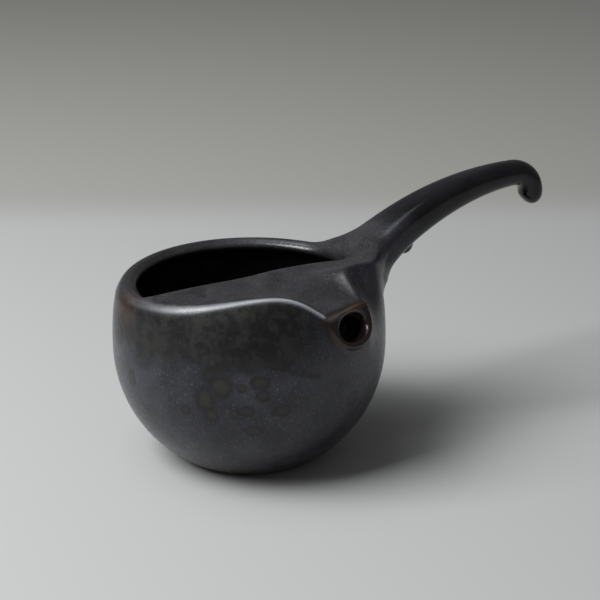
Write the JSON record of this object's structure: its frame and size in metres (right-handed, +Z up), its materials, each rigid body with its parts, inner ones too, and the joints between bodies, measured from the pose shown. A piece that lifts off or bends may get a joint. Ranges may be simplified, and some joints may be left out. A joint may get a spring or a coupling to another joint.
{
  "type": "teapot",
  "caption": "Lidless ball-shaped pouring teapot in dark glazed stoneware, with a pinched spout, a built-in strainer and a long hooked side handle.",
  "frame": {"origin": "middle of the flat base the pot stands on", "axes": "+Z up, -Y towards the spout, +X on the handle's side, the handle at 72 degrees from the spout"},
  "size_m": [0.1679, 0.0994, 0.0904],
  "materials": {
    "bowl_glaze": "satin metallic blue-grey glaze with fine speckle",
    "shoulder_glaze": "satin grey-brown glaze",
    "spout_glaze": "glossy brown-black glaze",
    "strainer_glaze": "dark satin glaze",
    "handle_glaze": "glossy black glaze"
  },
  "bodies": {
    "root": {"bowl": "bowl_glaze", "shoulder": "shoulder_glaze", "spout": "spout_glaze", "strainer": "strainer_glaze", "handle": "handle_glaze", "finger_rest": "handle_glaze"}
  },
  "joints": []
}
